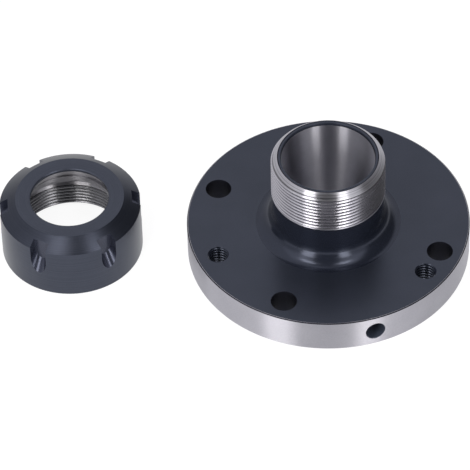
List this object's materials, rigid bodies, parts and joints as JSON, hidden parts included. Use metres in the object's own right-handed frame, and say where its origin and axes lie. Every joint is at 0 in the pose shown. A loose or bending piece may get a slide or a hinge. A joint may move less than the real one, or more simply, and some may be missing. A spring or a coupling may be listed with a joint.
{
  "type": "collet chuck",
  "caption": "Flanged lathe collet chuck with a threaded nose, a tapered collet socket and its clamping nut standing beside it.",
  "frame": {"origin": "centre of the chuck's axis in the plane of the flange's rear mounting face, which the part stands on", "axes": "+Z along the chuck's axis from the rear face to the threaded nose, -X towards the nut that stands beside the flange, +Y away from the viewer"},
  "size_m": [0.166, 0.1, 0.0447],
  "materials": {
    "chuck_body": "black-oxide steel, bright where the rim, thread and socket are turned or ground after blacking",
    "clamping_nut": "black-oxide steel outside, bright steel bore and thread"
  },
  "bodies": {
    "chuck_body": {"chuck_body": "chuck_body"},
    "clamping_nut": {"clamping_nut": "clamping_nut"}
  },
  "joints": [
    {"name": "nut_turn", "type": "hinge", "parent": "chuck_body", "child": "clamping_nut", "pos_m": [-0.091, 0.0044, 0], "axis": [0, 0, 1], "continuous": true}
  ]
}
